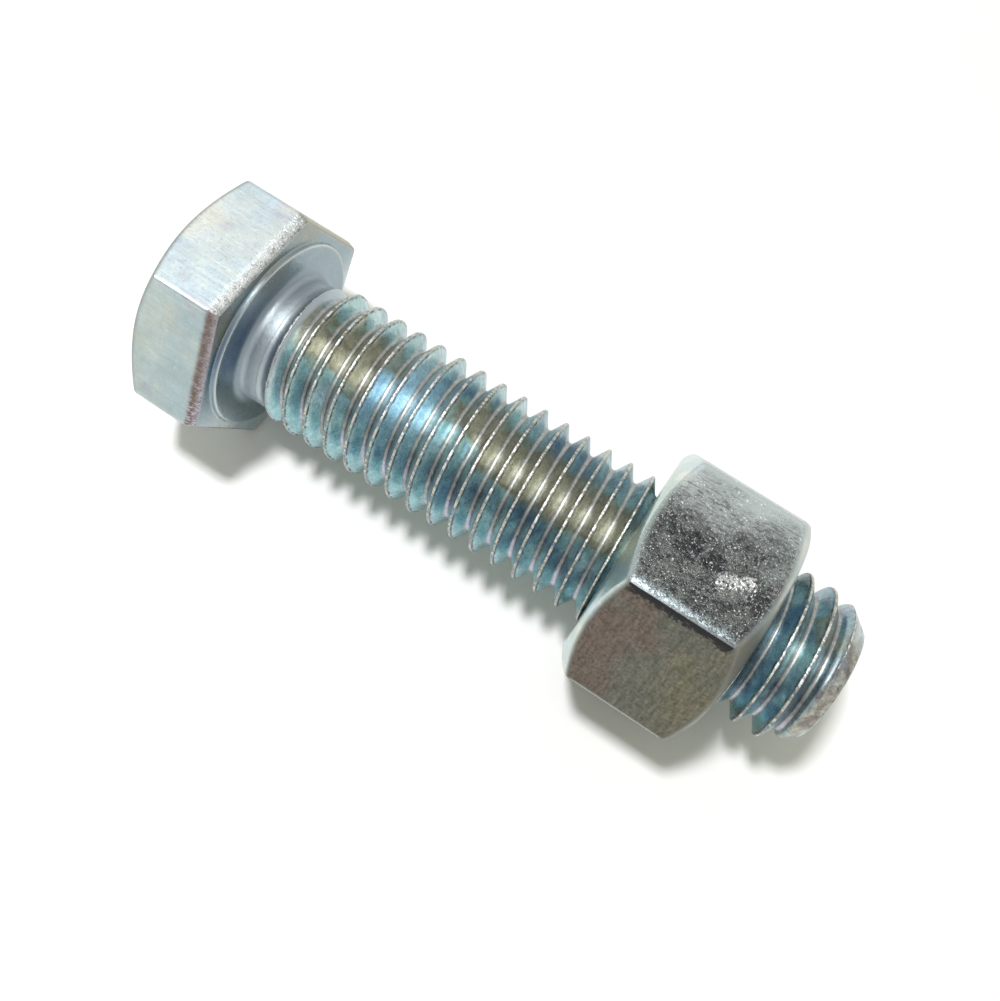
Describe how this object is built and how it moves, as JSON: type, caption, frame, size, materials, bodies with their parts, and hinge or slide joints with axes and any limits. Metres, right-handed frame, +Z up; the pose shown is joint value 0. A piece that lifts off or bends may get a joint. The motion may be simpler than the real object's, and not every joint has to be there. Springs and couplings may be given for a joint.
{
  "type": "hex bolt with nut",
  "caption": "Hex-head screw threaded almost up to its head, with a hex nut run onto the thread, lying on its flats; clamps work between the head and the nut.",
  "frame": {"origin": "on the surface that the pair lies on, under the middle of its length", "axes": "+X along the screw's axis from the head to the tip, +Z up"},
  "size_m": [0.0582, 0.0216, 0.0187],
  "materials": {
    "bolt_plating": "bright zinc plating with a blue tint, worn at the edges",
    "nut_plating": "bright zinc plating with a dull grey-brown tint on the flats"
  },
  "bodies": {
    "bolt": {"hex_bolt": "bolt_plating"},
    "nut": {"hex_nut": "nut_plating"}
  },
  "joints": [
    {"name": "nut_travel", "type": "slide", "parent": "bolt", "child": "nut", "axis": [1, 0, 0], "range_m": [-0.02736, 0.01563]}
  ]
}
